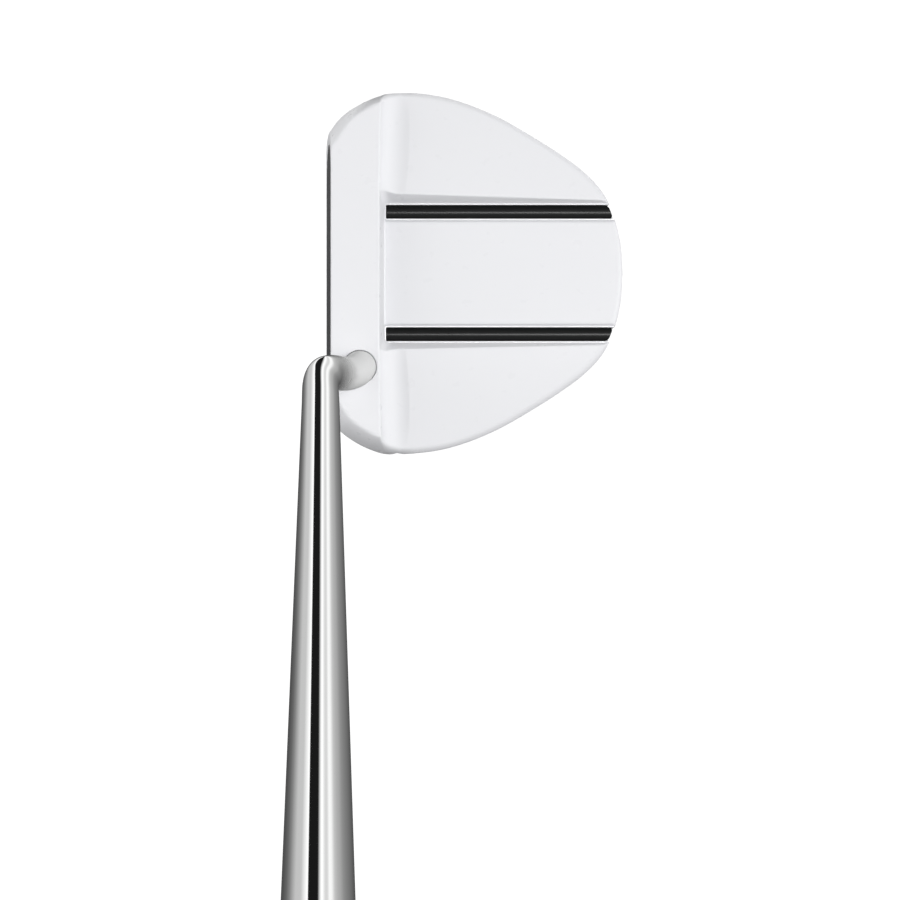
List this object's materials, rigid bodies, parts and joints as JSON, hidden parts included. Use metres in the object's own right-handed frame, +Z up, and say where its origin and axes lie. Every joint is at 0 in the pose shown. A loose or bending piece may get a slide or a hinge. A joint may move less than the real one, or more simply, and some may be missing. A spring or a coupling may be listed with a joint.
{
  "type": "mallet putter",
  "caption": "Right-handed mallet putter: white rounded head with two black alignment bars, double-bend chrome shaft, flat-front rubber grip and screw-in sole weights.",
  "frame": {"origin": "on the flat of the sole, under the middle of the head, with the club standing at address", "axes": "+Z up, +X from the striking face to the rear of the head, +Y towards the toe; the shaft leans 19 degrees from +Z towards -Y"},
  "size_m": [0.0995, 0.3652, 0.8435],
  "materials": {
    "white_paint": "gloss",
    "black_bar": "gloss",
    "insert_dark": "matte",
    "adhesive": "matte",
    "plate_metal": "satin",
    "screw_steel": "satin",
    "weight_steel": "satin",
    "washer_rubber": "matte",
    "damper_rubber": "matte",
    "chrome": "polished",
    "plug_plastic": "matte",
    "tape": "matte",
    "grip_rubber": "matte"
  },
  "bodies": {
    "club": {"head_body": "white_paint", "face_insert": "insert_dark", "insert_bond_pad": "adhesive", "toe_alignment_bar": "black_bar", "heel_alignment_bar": "black_bar", "sole_plate": "plate_metal", "sole_plate_screw_1": "screw_steel", "sole_plate_screw_2": "screw_steel", "sole_plate_screw_3": "screw_steel", "sole_plate_screw_4": "screw_steel", "cavity_damper": "damper_rubber", "shaft": "chrome", "shaft_bond": "adhesive", "shaft_tip_plug": "plug_plastic", "grip": "grip_rubber", "grip_tape": "tape", "grip_end_cap": "grip_rubber"},
    "toe_washer": {"toe_weight_washer": "washer_rubber"},
    "toe_weight": {"toe_weight_screw": "weight_steel"},
    "heel_washer": {"heel_weight_washer": "washer_rubber"},
    "heel_weight": {"heel_weight_screw": "weight_steel"}
  },
  "joints": [
    {"name": "toe_weight_travel", "type": "slide", "parent": "club", "child": "toe_washer", "axis": [0, 0, -1], "range_m": [0, 0.0075]},
    {"name": "toe_weight_turn", "type": "hinge", "parent": "toe_washer", "child": "toe_weight", "pos_m": [-0.008, 0.0295, 0], "axis": [0, 0, -1], "range_deg": [0, 2160]},
    {"name": "heel_weight_travel", "type": "slide", "parent": "club", "child": "heel_washer", "axis": [0, 0, -1], "range_m": [0, 0.0075]},
    {"name": "heel_weight_turn", "type": "hinge", "parent": "heel_washer", "child": "heel_weight", "pos_m": [-0.008, -0.0295, 0], "axis": [0, 0, -1], "range_deg": [0, 2160]}
  ],
  "couplings": [
    {"joint": "toe_weight_turn", "follows": "toe_weight_travel", "rad_per_m": 5026.5},
    {"joint": "heel_weight_turn", "follows": "heel_weight_travel", "rad_per_m": 5026.5}
  ]
}
